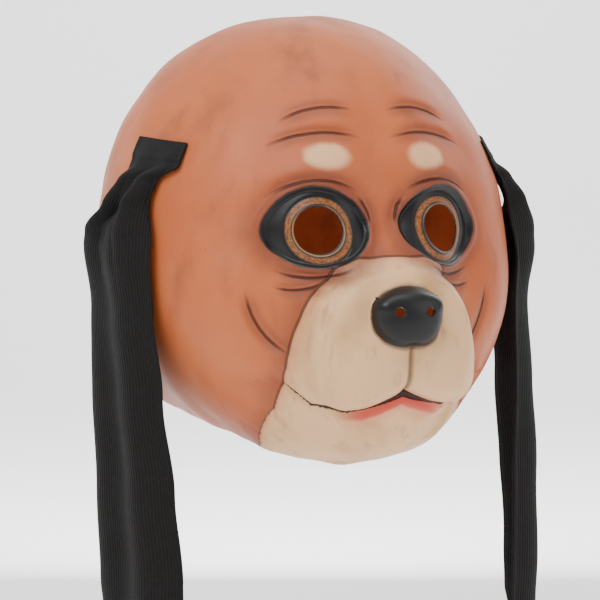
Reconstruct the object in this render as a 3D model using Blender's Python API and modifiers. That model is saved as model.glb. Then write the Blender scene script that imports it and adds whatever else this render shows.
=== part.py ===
"""A pull-over latex dog mask: one hollow cast shell with two hanging cloth ears.

Metres, +Z up. The face looks along -Y, and the origin is where the inside of the crown
rests on the wearer's head. The wearer's head goes in through the neck opening below.
"""

import math
from collections import namedtuple

import bmesh
import bpy
import numpy as np
from mathutils import Matrix, Vector
from mathutils.bvhtree import BVHTree

# The shell's main sizes
SHELL_HEIGHT = 0.303
SHELL_HALF_WIDTH = 0.144
SHELL_BACK = 0.150
FACE_FRONT = 0.132
MUZZLE_REACH = 0.058
MUZZLE_WIDTH = 0.110
NOSE_WIDTH = 0.046
LATEX_WALL = 0.0018

# The eyes, each a dome in a socket with a round hole to see through
EYE_SPACING = 0.087
EYE_DROP = 0.1415
EYE_WIDTH = 0.062
EYE_HEIGHT = 0.056
EYE_BULGE = 0.010
PUPIL_RADIUS = 0.015
PUPIL_TURN = math.radians(10)

# The nostrils, cut through the front of the nose
NOSTRIL_SPACING = 0.021
NOSTRIL_RADIUS = 0.0032
NOSTRIL_RISE = 0.003
NOSTRIL_TURN = math.radians(24)

# The cloth ears
EAR_LENGTH = 0.352
EAR_WIDTH = 0.080
EAR_CLOTH = 0.0018
EAR_TOP_DROP = 0.084
EAR_AZIMUTH = math.radians(75)
EAR_GAP = 0.0005

# The neck opening's rim lies in the plane through these two places. A reach is a share of the
# way to the face or, when negative, to the back, and a drop a share of the shell's height.
Rim = namedtuple("Rim", "reach drop")
RIM_FRONT = Rim(0.65, 0.981)
RIM_BACK = Rim(-0.72, 0.813)

HALF_COLUMNS = 23
PUPIL_SIDES = 28
NOSTRIL_SIDES = 12
EAR_COLUMNS = 13
EAR_ROW_STEPS = 3

# The shell's sections, from the tip of the nose to the back of the head. A reach is 1 at the
# face and 2 at the tip of the nose, and -1 at the back of the head. A drop is a share of the
# shell's height below the crown. A width is a share of half the nose, muzzle or head.
Section = namedtuple(
    "Section",
    "top_reach top_drop width width_of side_reach side_drop low_reach low_drop round steps",
)
NOSE, MUZZLE, HEAD = "nose", "muzzle", "head"
SECTIONS = (
    Section(2.00, 0.640, 0.00, NOSE, 2.00, 0.640, 2.00, 0.640, 1.0, 2),
    Section(1.98, 0.613, 0.45, NOSE, 1.97, 0.635, 1.98, 0.670, 1.0, 2),
    Section(1.91, 0.594, 0.88, NOSE, 1.86, 0.632, 1.94, 0.692, 0.9, 2),
    Section(1.80, 0.584, 1.00, NOSE, 1.72, 0.634, 1.89, 0.702, 0.9, 1),
    Section(1.71, 0.577, 1.02, NOSE, 1.65, 0.646, 1.86, 0.714, 0.9, 2),
    Section(1.60, 0.551, 0.82, MUZZLE, 1.58, 0.692, 1.78, 0.776, 0.9, 2),
    Section(1.45, 0.533, 0.99, MUZZLE, 1.36, 0.712, 1.63, 0.842, 0.9, 3),
    Section(1.26, 0.502, 1.02, MUZZLE, 1.06, 0.708, 1.36, 0.903, 0.9, 3),
    Section(1.10, 0.452, 0.50, HEAD, 0.91, 0.660, 1.04, 0.953, 0.9, 3),
    Section(1.01, 0.380, 0.69, HEAD, 0.73, 0.610, 0.83, 0.984, 1.0, 3),
    Section(0.95, 0.290, 0.85, HEAD, 0.48, 0.570, 0.62, 0.999, 1.0, 3),
    Section(0.80, 0.175, 0.96, HEAD, 0.23, 0.543, 0.40, 1.004, 1.0, 3),
    Section(0.46, 0.054, 1.00, HEAD, -0.03, 0.535, 0.18, 1.004, 1.0, 3),
    Section(-0.08, 0.000, 0.96, HEAD, -0.34, 0.525, -0.10, 0.990, 0.9, 3),
    Section(-0.54, 0.070, 0.78, HEAD, -0.67, 0.505, -0.52, 0.915, 0.9, 3),
    Section(-0.84, 0.218, 0.47, HEAD, -0.91, 0.476, -0.83, 0.721, 1.0, 3),
    Section(-1.00, 0.470, 0.00, HEAD, -1.00, 0.470, -1.00, 0.470, 1.0, 0),
)

# Rounded swells and hollows on the shell. Side is a share of half the muzzle or head, and drop
# and the spreads are shares of the shell's height. A swell about the eye has its side and drop
# from the eye's middle, both as shares of the shell's height. Tilt is how much its long way
# rises towards the side, and height is how far it stands out, as a share of the shell's height.
EYE = "eye"
Swell = namedtuple("Swell", "name about side reach drop spread_side spread_up tilt height")
SWELLS = (
    Swell("brow", EYE, -0.009, 1.00, -0.124, 0.120, 0.055, -0.10, 0.022),
    Swell("socket", EYE, 0.011, 0.95, 0.001, 0.120, 0.110, 0.00, -0.024),
    Swell("stop", MUZZLE, 0.00, 1.05, 0.415, 0.060, 0.060, 0.00, -0.010),
    Swell("cheek", HEAD, 0.70, 0.60, 0.640, 0.160, 0.120, 0.00, 0.014),
    Swell("hollow", MUZZLE, 1.25, 0.95, 0.620, 0.055, 0.120, 0.00, -0.012),
    Swell("flew", MUZZLE, 0.58, 1.50, 0.760, 0.080, 0.075, 0.00, 0.024),
    Swell("chin", MUZZLE, 0.00, 1.30, 0.925, 0.085, 0.050, 0.00, 0.012),
    Swell("furrow", HEAD, 0.00, 1.00, 0.270, 0.045, 0.150, 0.00, -0.012),
    Swell("occiput", HEAD, 0.00, -0.80, 0.230, 0.130, 0.110, 0.00, 0.014),
)

# The crease of the mouth, from the middle of the lip to the cheek. Side is a share of half the
# muzzle's width, and drop a share of the shell's height.
Crease = namedtuple("Crease", "side reach drop")
MOUTH = (
    Crease(0.00, 1.68, 0.816),
    Crease(0.30, 1.62, 0.838),
    Crease(0.66, 1.42, 0.858),
    Crease(1.00, 1.12, 0.842),
    Crease(1.26, 0.94, 0.790),
)

# The profile across the mouth: how far off the crease each part lies, how wide it is and how
# far it stands out. Off is positive below the crease.
Profile = namedtuple("Profile", "name off width height")
MOUTH_PROFILE = (
    Profile("lip", -0.013, 0.012, 0.0032),
    Profile("crease", 0.000, 0.006, -0.0042),
    Profile("jaw", 0.015, 0.015, -0.0032),
)
PHILTRUM_DEPTH = 0.0028
PHILTRUM_WIDTH = 0.0050

# The ears' rows, from the tacked flap to the rounded end. A drop is a share of the ear's
# length and a width a share of its width. Lean is how far the row lies to the back. Pleat is
# how far the folds stand out, and stand how far the middle bulges off the head. These three
# are shares of the width.
EarRow = namedtuple("EarRow", "drop width lean pleat stand")
EAR_ROWS = (
    EarRow(0.000, 0.72, -0.05, 0.00, 0.00),
    EarRow(0.050, 0.70, -0.05, 0.02, 0.01),
    EarRow(0.080, 0.50, 0.05, 0.10, 0.02),
    EarRow(0.125, 0.46, 0.06, 0.14, 0.05),
    EarRow(0.175, 0.78, 0.16, 0.10, 0.15),
    EarRow(0.205, 0.90, 0.19, 0.07, 0.17),
    EarRow(0.330, 0.97, 0.18, 0.06, 0.13),
    EarRow(0.480, 0.97, 0.08, 0.08, 0.12),
    EarRow(0.660, 0.98, -0.05, 0.09, 0.15),
    EarRow(0.830, 1.00, -0.13, 0.09, 0.17),
    EarRow(0.920, 0.96, -0.16, 0.08, 0.16),
    EarRow(0.970, 0.74, -0.17, 0.05, 0.15),
    EarRow(1.000, 0.36, -0.17, 0.02, 0.14),
)
EAR_PLEATS = 2
LATEX_TAN = (0.60, 0.23, 0.10)
CLOTH_BLACK = (0.010, 0.009, 0.009)


HALF_WIDTHS = {NOSE: NOSE_WIDTH / 2, MUZZLE: MUZZLE_WIDTH / 2, HEAD: SHELL_HALF_WIDTH}


def forward(reach):
    """The Y of a reach share, which counts along the face or the back, and then the muzzle."""
    if reach < 0:
        return -reach * SHELL_BACK
    return -(min(reach, 1) * FACE_FRONT + max(reach - 1, 0) * MUZZLE_REACH)


def height(drop):
    """The Z of a drop share below the outside of the crown."""
    return LATEX_WALL - drop * SHELL_HEIGHT


def section_points(section, angles):
    """A section's points from its top, round the side, to its lowest point."""
    half = HALF_WIDTHS[section.width_of]
    across = np.abs(np.sin(angles)) ** section.round * section.width * half
    rise = np.abs(np.cos(angles)) ** section.round
    upper = np.cos(angles) >= 0
    end_z = np.where(upper, height(section.top_drop), height(section.low_drop))
    end_y = np.where(upper, forward(section.top_reach), forward(section.low_reach))
    side_y, side_z = forward(section.side_reach), height(section.side_drop)
    y = side_y + (end_y - side_y) * np.cos(angles) ** 2
    return np.stack([across, y, side_z + (end_z - side_z) * rise], axis=1)


def loft(controls, steps):
    """Rings on a smooth surface through rows of control points that start and end at a pole."""
    flip = np.array([-1, 1, 1])
    controls = np.array([controls[1][::-1] * flip, *controls, controls[-2][::-1] * flip])
    spans = np.linalg.norm(np.diff(controls, axis=0), axis=2).mean(axis=1) ** 0.5
    knots = np.concatenate([[0], np.cumsum(spans)])
    rings = [controls[1]]
    for k in range(1, len(controls) - 2):
        before, here, after, last = knots[k - 1 : k + 3]
        span = after - here
        slope = (controls[k + 1] - controls[k]) / span
        into = (controls[k] - controls[k - 1]) / (here - before)
        out = (controls[k + 2] - controls[k + 1]) / (last - after)
        start = (slope * (here - before) + into * span) / (after - before)
        end = (out * span + slope * (last - after)) / (last - here)
        for i in range(1, steps[k - 1] + 1):
            t = i / steps[k - 1]
            rings.append(
                (2 * t**3 - 3 * t**2 + 1) * controls[k]
                + (t**3 - 2 * t**2 + t) * span * start
                + (3 * t**2 - 2 * t**3) * controls[k + 1]
                + (t**3 - t**2) * span * end
            )
    return np.array(rings)


def grid_normals(grid):
    """Outward normals of a half grid of rings, which run round from top to bottom."""
    mirrored = grid * np.array([-1, 1, 1])
    wide = np.concatenate([mirrored[:, 1:2], grid, mirrored[:, -2:-1]], axis=1)
    around = wide[:, 2:] - wide[:, :-2]
    along = np.gradient(grid, axis=0)
    normals = np.cross(around, along)
    normals[0], normals[-1] = (0, -1, 0), (0, 1, 0)
    return normals / np.maximum(np.linalg.norm(normals, axis=2, keepdims=True), 1e-12)


def swell_middle(swell):
    """Where a swell is highest, before it is found on the surface."""
    if swell.about == EYE:
        x, z = eye_middle()
        return np.array(
            [x + swell.side * SHELL_HEIGHT, forward(swell.reach), z - swell.drop * SHELL_HEIGHT]
        )
    side = swell.side * HALF_WIDTHS[swell.about]
    return np.array([side, forward(swell.reach), height(swell.drop)])


def swell_amount(points, swell):
    """How far a swell lifts each point."""
    off = points - swell_middle(swell)
    up = off[..., 2] - swell.tilt * off[..., 0]
    share = (
        (off[..., 0] / swell.spread_side) ** 2
        + (up / swell.spread_up) ** 2
        + (off[..., 1] / max(swell.spread_side, swell.spread_up)) ** 2
    ) / SHELL_HEIGHT**2
    return swell.height * SHELL_HEIGHT * np.exp(-share)


def mouth_offsets(points):
    """Each point's distance from the mouth crease, negative above it."""
    half = HALF_WIDTHS[MUZZLE]
    crease = np.array([[c.side * half, forward(c.reach), height(c.drop)] for c in MOUTH])
    best = np.full(points.shape[:2], np.inf)
    signed = np.zeros(points.shape[:2])
    for start, end in zip(crease[:-1], crease[1:]):
        run = end - start
        along = np.clip(((points - start) @ run) / (run @ run), 0, 1)
        off = points - (start + along[..., None] * run)
        far = np.linalg.norm(off, axis=2)
        nearer = far < best
        best = np.where(nearer, far, best)
        signed = np.where(nearer, np.where(off[..., 2] > 0, -far, far), signed)
    return signed


def eye_middle():
    """The middle of the left eye on the face, before it is found on the surface."""
    return np.array([EYE_SPACING / 2, height(EYE_DROP / SHELL_HEIGHT)])


def eye_dome(points):
    """How far the eye's dome stands out at each point."""
    x, z = eye_middle()
    share = ((points[..., 0] - x) / (EYE_WIDTH / 2)) ** 2
    share = share + ((points[..., 2] - z) / (EYE_HEIGHT / 2)) ** 2
    in_front = points[..., 1] < forward(0.5)
    return np.where(in_front, EYE_BULGE * np.maximum(0, 1 - share), 0)


def philtrum(points):
    """How deep the groove from the nose down to the lip is at each point."""
    nose_low = height(SECTIONS[3].low_drop)
    lip = height(MOUTH[0].drop)
    along = (points[..., 2] < nose_low) & (points[..., 2] > lip) & (points[..., 1] < forward(1.4))
    return np.where(along, PHILTRUM_DEPTH * np.exp(-((points[..., 0] / PHILTRUM_WIDTH) ** 2)), 0)


def shell_grid():
    """The outside of the shell's left half, as rings of points."""
    angles = np.linspace(0, math.pi, HALF_COLUMNS + 1)
    controls = [section_points(section, angles) for section in SECTIONS]
    grid = loft(controls, [section.steps for section in SECTIONS])
    normals = grid_normals(grid)
    lift = sum(swell_amount(grid, swell) for swell in SWELLS)
    off = mouth_offsets(grid)
    for part in MOUTH_PROFILE:
        lift = lift + part.height * np.exp(-(((off - part.off) / part.width) ** 2))
    lift = lift - philtrum(grid)
    lift = lift + eye_dome(grid)
    grid = grid + normals * lift[..., None]
    grid[:, (0, -1), 0] = 0
    return grid


def mesh_object(name, mesh):
    made = bpy.data.objects.new(name, mesh)
    bpy.data.collections[COLLECTION].objects.link(made)
    return made


def half_surface(grid):
    """An open mesh of the half grid, with one vertex at each pole."""
    bm = bmesh.new()
    tip, back = bm.verts.new(grid[0][0]), bm.verts.new(grid[-1][0])
    rows = [[bm.verts.new(p) for p in ring] for ring in grid[1:-1]]
    for i in range(len(rows[0]) - 1):
        bm.faces.new((tip, rows[0][i], rows[0][i + 1]))
        bm.faces.new((back, rows[-1][i + 1], rows[-1][i]))
    for near, far in zip(rows[:-1], rows[1:]):
        for i in range(len(near) - 1):
            bm.faces.new((near[i], far[i], far[i + 1], near[i + 1]))
    return bm


def cut_neck(bm):
    """Trims the surface at the plane of the neck opening's rim."""
    front = Vector((0, forward(RIM_FRONT.reach), height(RIM_FRONT.drop)))
    back = Vector((0, forward(RIM_BACK.reach), height(RIM_BACK.drop)))
    along = (back - front).normalized()
    down = Vector((1, 0, 0)).cross(along)
    down = down if down.z < 0 else -down
    bmesh.ops.bisect_plane(
        bm,
        geom=bm.verts[:] + bm.edges[:] + bm.faces[:],
        dist=LATEX_WALL / 2,
        plane_co=front,
        plane_no=down,
        clear_outer=True,
    )


def add_cutter(shell, name, place, facing, radius, sides, depth):
    """A round bar through the shell's wall, which a Boolean takes away."""
    mesh = bpy.data.meshes.new(name)
    bm = bmesh.new()
    turn = facing.to_track_quat("Z", "Y").to_matrix().to_4x4()
    bmesh.ops.create_cone(
        bm,
        cap_ends=True,
        segments=sides,
        radius1=radius,
        radius2=radius,
        depth=depth,
        matrix=Matrix.Translation(place) @ turn,
    )
    bm.to_mesh(mesh)
    bm.free()
    cutter = bpy.data.objects.new(name, mesh)
    bpy.data.collections[CUTTERS].objects.link(cutter)
    cutter.hide_render = True
    cutter.display_type = "WIRE"
    cut = shell.modifiers.new(name, "BOOLEAN")
    cut.operation = "DIFFERENCE"
    cut.object = cutter


def surface_tree(shell):
    """The shell's surface as it stands, for finding points on it."""
    bpy.context.view_layer.update()
    graph = bpy.context.evaluated_depsgraph_get()
    return BVHTree.FromObject(shell, graph)


def front_point(tree, x, z):
    """The place on the outside of the face that shows here from the front."""
    far = FACE_FRONT + 2 * MUZZLE_REACH
    place, _, _, _ = tree.ray_cast(Vector((x, -far, z)), Vector((0, 1, 0)))
    return place


def cut_hole(shell, tree, name, x, z, turn, radius, sides):
    """Cuts a round hole through the face here, turned this far out from straight ahead."""
    facing = Vector((math.sin(turn), -math.cos(turn), 0))
    depth = 3 * radius + 4 * LATEX_WALL
    add_cutter(shell, name, front_point(tree, x, z), facing, radius, sides, depth)


def build_shell():
    """The hollow latex shell with its eye holes, nostrils and neck opening."""
    bm = half_surface(shell_grid())
    bmesh.ops.recalc_face_normals(bm, faces=bm.faces[:])
    cut_neck(bm)
    mesh = bpy.data.meshes.new("latex_shell")
    bm.to_mesh(mesh)
    bm.free()
    shell = mesh_object("latex_shell", mesh)
    mirror = shell.modifiers.new("other_half", "MIRROR")
    mirror.merge_threshold = 0.00005
    wall = shell.modifiers.new("wall", "SOLIDIFY")
    wall.thickness = LATEX_WALL
    wall.offset = -1
    wall.use_even_offset = True
    tree = surface_tree(shell)
    eye_x, eye_z = eye_middle()
    nose_z = height(SECTIONS[0].top_drop) + NOSTRIL_RISE
    for side, sign in (("left", 1), ("right", -1)):
        cut_hole(
            shell,
            tree,
            f"pupil_cut_{side}",
            sign * eye_x,
            eye_z,
            sign * PUPIL_TURN,
            PUPIL_RADIUS,
            PUPIL_SIDES,
        )
        cut_hole(
            shell,
            tree,
            f"nostril_cut_{side}",
            sign * NOSTRIL_SPACING / 2,
            nose_z,
            sign * NOSTRIL_TURN,
            NOSTRIL_RADIUS,
            NOSTRIL_SIDES,
        )
    return shell, tree


def smooth_rows(rows, steps):
    """The rows' values at even steps between them, without corners."""
    values = np.array([tuple(row) for row in rows])
    at = np.linspace(0, len(rows) - 1, (len(rows) - 1) * steps + 1)
    smooth = []
    for place in at:
        k = min(int(place), len(rows) - 2)
        t = place - k
        t = t * t * (3 - 2 * t) if steps > 1 else t
        smooth.append(values[k] * (1 - t) + values[k + 1] * t)
    smooth = np.array(smooth)
    smooth[:, 0] = np.interp(at, np.arange(len(rows)), values[:, 0])
    return smooth


def head_radius(tree, azimuth, z):
    """How far the shell's outside lies from the head's axis in this direction."""
    out = Vector((math.sin(azimuth), -math.cos(azimuth), 0))
    start = out * (2 * SHELL_BACK + 2 * FACE_FRONT) + Vector((0, 0, z))
    place, _, _, _ = tree.ray_cast(start, -out)
    return 0.0 if place is None else max(0.0, place.dot(out))


def ear_surface(tree):
    """The inner face of the left ear as rows of points, clear of the shell."""
    rows = smooth_rows(EAR_ROWS, EAR_ROW_STEPS)
    top = LATEX_WALL - EAR_TOP_DROP
    across = np.linspace(-0.5, 0.5, EAR_COLUMNS + 1)
    held = np.zeros(len(across))
    points = []
    for drop, width, lean, pleat, stand in rows:
        z = top - drop * EAR_LENGTH
        line = []
        for j, share in enumerate(across):
            turn = (share * width + lean) * EAR_WIDTH / SHELL_HALF_WIDTH
            azimuth = EAR_AZIMUTH + turn
            reach = head_radius(tree, azimuth, z) + EAR_GAP
            held[j] = max(held[j], reach)
            fold = pleat * (0.5 - 0.5 * math.cos(2 * math.pi * EAR_PLEATS * (share + 0.5)))
            bulge = stand * (1 - 3 * share * share)
            out = held[j] + (fold + bulge) * EAR_WIDTH
            line.append(Vector((out * math.sin(azimuth), -out * math.cos(azimuth), z)))
        points.append(line)
    return points


def build_ear(name, points, sign):
    """A hanging cloth ear. Sign is 1 for the dog's left and -1 for its right."""
    bm = bmesh.new()
    rows = [[bm.verts.new((sign * p.x, p.y, p.z)) for p in line] for line in points]
    for upper, lower in zip(rows[:-1], rows[1:]):
        for i in range(len(upper) - 1):
            corners = (upper[i], upper[i + 1], lower[i + 1], lower[i])
            bm.faces.new(corners if sign < 0 else corners[::-1])
    mesh = bpy.data.meshes.new(name)
    bm.to_mesh(mesh)
    bm.free()
    ear = mesh_object(name, mesh)
    cloth = ear.modifiers.new("cloth", "SOLIDIFY")
    cloth.thickness = EAR_CLOTH
    cloth.offset = 1
    return ear


def add_material(obj, name, colour, roughness):
    material = bpy.data.materials.new(name)
    material.use_nodes = True
    shader = material.node_tree.nodes["Principled BSDF"]
    shader.inputs["Base Color"].default_value = (*colour, 1)
    shader.inputs["Roughness"].default_value = roughness
    shader.inputs["Metallic"].default_value = 0
    obj.data.materials.append(material)


COLLECTION = "latex_dog_mask"
CUTTERS = "cutters"


def main():
    for old in list(bpy.data.objects):
        bpy.data.objects.remove(old)
    for name in (COLLECTION, CUTTERS):
        bpy.context.scene.collection.children.link(bpy.data.collections.new(name))
    shell, tree = build_shell()
    add_material(shell, "painted_latex", LATEX_TAN, 0.45)
    points = ear_surface(tree)
    for name, sign in (("ear_left", 1), ("ear_right", -1)):
        ear = build_ear(name, points, sign)
        add_material(ear, f"{name}_cloth", CLOTH_BLACK, 0.85)


main()
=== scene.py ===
"""The looks of a latex dog mask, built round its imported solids.

The mask is one cast latex head with a painted outside and a raw inside, and two black
ribbed cloth ears that are tacked at the temples. Metres, +Z up, the face along -Y.
"""

import math
from collections import namedtuple

import bpy
import numpy as np
from bpy.props import FloatProperty, FloatVectorProperty, PointerProperty
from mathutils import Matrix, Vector, noise
from mathutils.bvhtree import BVHTree


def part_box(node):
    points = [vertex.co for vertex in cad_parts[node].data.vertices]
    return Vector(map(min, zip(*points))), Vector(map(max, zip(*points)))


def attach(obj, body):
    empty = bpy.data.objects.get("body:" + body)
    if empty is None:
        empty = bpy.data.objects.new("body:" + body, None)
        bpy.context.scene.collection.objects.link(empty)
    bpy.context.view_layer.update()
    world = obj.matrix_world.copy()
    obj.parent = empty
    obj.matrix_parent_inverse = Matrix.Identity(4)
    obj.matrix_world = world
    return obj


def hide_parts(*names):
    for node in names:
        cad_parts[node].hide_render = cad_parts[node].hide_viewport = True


bl_info = {
    "name": "Latex Dog Mask",
    "version": (1, 0, 0),
    "blender": (4, 5, 0),
    "location": "View3D > Sidebar > Dog Mask",
    "description": "Builds a painted latex dog mask with hanging cloth ears",
    "category": "Add Mesh",
}

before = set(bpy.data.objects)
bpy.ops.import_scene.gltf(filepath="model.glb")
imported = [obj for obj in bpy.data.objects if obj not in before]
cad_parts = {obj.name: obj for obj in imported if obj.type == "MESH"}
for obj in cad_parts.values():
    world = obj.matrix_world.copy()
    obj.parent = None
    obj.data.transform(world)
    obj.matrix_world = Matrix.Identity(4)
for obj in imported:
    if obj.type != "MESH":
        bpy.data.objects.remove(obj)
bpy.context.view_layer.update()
SHELL_LOW, SHELL_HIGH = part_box("latex_shell")
EAR_LOW, EAR_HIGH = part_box("ear_left")

# The face's share of the way from the middle to the tip of the nose, and the share of the
# shell's full height that is left above the trimmed rim
FACE_SHARE = 0.132 / 0.190
RIM_SHARE = 0.994


def table(fields, *rows):
    """Rows whose columns have these names."""
    row = namedtuple("Row", fields)
    return [row(*values) for values in rows]


# The surface's columns round each ring on one side, in spans of its turn from the top in
# degrees. They lie closest where the eyes are.
COLUMN_SPANS = table(
    "start columns",
    (0, 10),
    (22, 34),
    (76, 26),
    (124, 18),
    (180, 0),
)
HALF_COLUMNS = sum(span.columns for span in COLUMN_SPANS)

# The shell's sections, from the tip of the nose to the back of the head. A reach is 1 at the
# face and 2 at the tip of the nose, and -1 at the back of the head. A drop is a share of the
# shell's height below the crown. A width is a share of half the nose, muzzle or head. Rings is
# how many rings of the surface lie between this section and the next.
NOSE, MUZZLE, HEAD, EYE = "nose", "muzzle", "head", "eye"
SECTIONS = table(
    "top_reach top_drop width width_of side_reach side_drop low_reach low_drop round rings",
    (2.00, 0.640, 0.00, NOSE, 2.00, 0.640, 2.00, 0.640, 1.0, 6),
    (1.98, 0.613, 0.45, NOSE, 1.97, 0.635, 1.98, 0.670, 1.0, 8),
    (1.91, 0.594, 0.88, NOSE, 1.86, 0.632, 1.94, 0.692, 0.9, 6),
    (1.80, 0.584, 1.00, NOSE, 1.72, 0.634, 1.89, 0.702, 0.9, 6),
    (1.71, 0.577, 1.02, NOSE, 1.65, 0.646, 1.86, 0.714, 0.9, 9),
    (1.60, 0.551, 0.82, MUZZLE, 1.58, 0.692, 1.78, 0.776, 0.9, 12),
    (1.45, 0.533, 0.99, MUZZLE, 1.36, 0.712, 1.63, 0.842, 0.9, 15),
    (1.26, 0.502, 1.02, MUZZLE, 1.06, 0.708, 1.36, 0.903, 0.9, 16),
    (1.10, 0.452, 0.50, HEAD, 0.91, 0.660, 1.04, 0.953, 0.9, 19),
    (1.01, 0.380, 0.69, HEAD, 0.73, 0.610, 0.83, 0.984, 1.0, 20),
    (0.95, 0.290, 0.85, HEAD, 0.48, 0.570, 0.62, 0.999, 1.0, 16),
    (0.80, 0.175, 0.96, HEAD, 0.23, 0.543, 0.40, 1.004, 1.0, 11),
    (0.46, 0.054, 1.00, HEAD, -0.03, 0.535, 0.18, 1.004, 1.0, 8),
    (-0.08, 0.000, 0.96, HEAD, -0.34, 0.525, -0.10, 0.990, 0.9, 7),
    (-0.54, 0.070, 0.78, HEAD, -0.67, 0.505, -0.52, 0.915, 0.9, 7),
    (-0.84, 0.218, 0.47, HEAD, -0.91, 0.476, -0.83, 0.721, 1.0, 7),
    (-1.00, 0.470, 0.00, HEAD, -1.00, 0.470, -1.00, 0.470, 1.0, 0),
)
NOSE_EDGE_SECTION = 3.45

# Rounded swells and hollows, as in the solids. Side is a share of half the muzzle or head, and
# drop, the spreads and the height are shares of the shell's height. A swell about the eye has
# its side and drop from the eye's middle.
SWELLS = table(
    "name about side reach drop spread_side spread_up tilt height",
    ("brow", EYE, -0.009, 1.00, -0.124, 0.120, 0.055, -0.10, 0.022),
    ("socket", EYE, 0.011, 0.95, 0.001, 0.120, 0.110, 0.00, -0.024),
    ("stop", MUZZLE, 0.00, 1.05, 0.415, 0.060, 0.060, 0.00, -0.010),
    ("cheek", HEAD, 0.70, 0.60, 0.640, 0.160, 0.120, 0.00, 0.014),
    ("hollow", MUZZLE, 1.25, 0.95, 0.620, 0.055, 0.120, 0.00, -0.012),
    ("flew", MUZZLE, 0.58, 1.50, 0.760, 0.080, 0.075, 0.00, 0.024),
    ("chin", MUZZLE, 0.00, 1.30, 0.925, 0.085, 0.050, 0.00, 0.012),
    ("furrow", HEAD, 0.00, 1.00, 0.270, 0.045, 0.150, 0.00, -0.012),
    ("occiput", HEAD, 0.00, -0.80, 0.230, 0.130, 0.110, 0.00, 0.014),
)

# The crease of the mouth, from the middle of the lip to the cheek. Side is a share of half the
# muzzle's width, and drop a share of the shell's height.
MOUTH = table(
    "side reach drop",
    (0.00, 1.68, 0.816),
    (0.30, 1.62, 0.838),
    (0.66, 1.42, 0.858),
    (1.00, 1.12, 0.842),
    (1.26, 0.94, 0.790),
)

# The profile across the mouth, in metres: how far off the crease each part lies, how wide it is
# and how far it stands out. Off is positive below the crease.
MOUTH_PROFILE = table(
    "name off width height",
    ("lip", -0.013, 0.012, 0.0032),
    ("crease", 0.000, 0.006, -0.0042),
    ("jaw", 0.015, 0.015, -0.0032),
    ("slit", 0.000, 0.0026, -0.0022),
    ("lower_lip", 0.0060, 0.0036, 0.0016),
)

# The edge of the cream paint: a section number for each turn from the top, in degrees
MUZZLE_PAINT = table(
    "turn section",
    (0, 6.55),
    (30, 6.75),
    (55, 7.05),
    (80, 7.25),
    (105, 7.65),
    (130, 8.60),
    (150, 10.10),
    (165, 11.80),
    (180, 12.60),
)

# Engraved wrinkles, each an arc on the face as seen from the front: its middle, half its
# length, how far its ends drop, how far it rises to the side and its depth, in metres and
# radians
WRINKLES = table(
    "name side height half_length sag turn depth",
    ("brow_fold_low", 0.040, -0.078, 0.032, 0.007, -0.10, 0.0012),
    ("brow_fold_high", 0.036, -0.062, 0.026, 0.006, -0.16, 0.0009),
    ("lid_fold", 0.044, -0.1080, 0.029, 0.010, -0.06, 0.0013),
    ("under_eye", 0.047, -0.1700, 0.023, -0.007, -0.08, 0.0012),
    ("under_eye_low", 0.055, -0.1780, 0.015, -0.004, -0.14, 0.0008),
    ("cheek_fold", 0.078, -0.2020, 0.026, -0.006, 1.05, 0.0013),
    ("stop_fold", 0.0105, -0.1270, 0.010, 0.002, 1.20, 0.0010),
)

# The ears' rows, as in the solids. A drop is a share of the ear's length. Lean is how far the
# row lies to the back, pleat how far the folds stand out and stand how far the middle bulges
# off the head, all as shares of the width.
EAR_ROWS = table(
    "drop width lean pleat stand",
    (0.000, 0.72, -0.05, 0.00, 0.00),
    (0.050, 0.70, -0.05, 0.02, 0.01),
    (0.080, 0.50, 0.05, 0.10, 0.02),
    (0.125, 0.46, 0.06, 0.14, 0.05),
    (0.175, 0.78, 0.16, 0.10, 0.15),
    (0.205, 0.90, 0.19, 0.07, 0.17),
    (0.330, 0.97, 0.18, 0.06, 0.13),
    (0.480, 0.97, 0.08, 0.08, 0.12),
    (0.660, 0.98, -0.05, 0.09, 0.15),
    (0.830, 1.00, -0.13, 0.09, 0.17),
    (0.920, 0.96, -0.16, 0.08, 0.16),
    (0.970, 0.74, -0.17, 0.05, 0.15),
    (1.000, 0.36, -0.17, 0.02, 0.14),
)


def metres(name, description, default):
    """A length that a user can change."""
    return FloatProperty(name=name, description=description, default=default, unit="LENGTH")


def degrees(name, description, default):
    """An angle that a user can change."""
    turn = math.radians(default)
    return FloatProperty(name=name, description=description, default=turn, subtype="ANGLE")


def colour(name, description, default):
    """A colour that a user can change."""
    return FloatVectorProperty(
        name=name, description=description, default=default, subtype="COLOR", min=0, max=1
    )


class ShellSizes(bpy.types.PropertyGroup):
    """Sizes of the cast latex head"""

    height: metres(
        "Height", "From the crown to the chin", (SHELL_HIGH.z - SHELL_LOW.z) / RIM_SHARE
    )
    half_width: metres("Half Width", "From the middle to the side of the head", SHELL_HIGH.x)
    back: metres("Back", "From the middle to the back of the head", SHELL_HIGH.y)
    nose_reach: metres("Nose Reach", "From the middle to the tip of the nose", -SHELL_LOW.y)
    muzzle_width: metres("Muzzle Width", "Width of the muzzle at the lips", 0.110)
    nose_width: metres("Nose Width", "Width of the nose", 0.046)
    wall: metres("Wall", "Thickness of the latex", 0.0018)
    unevenness: metres("Unevenness", "How far the modelled surface rolls in and out", 0.0012)


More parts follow.
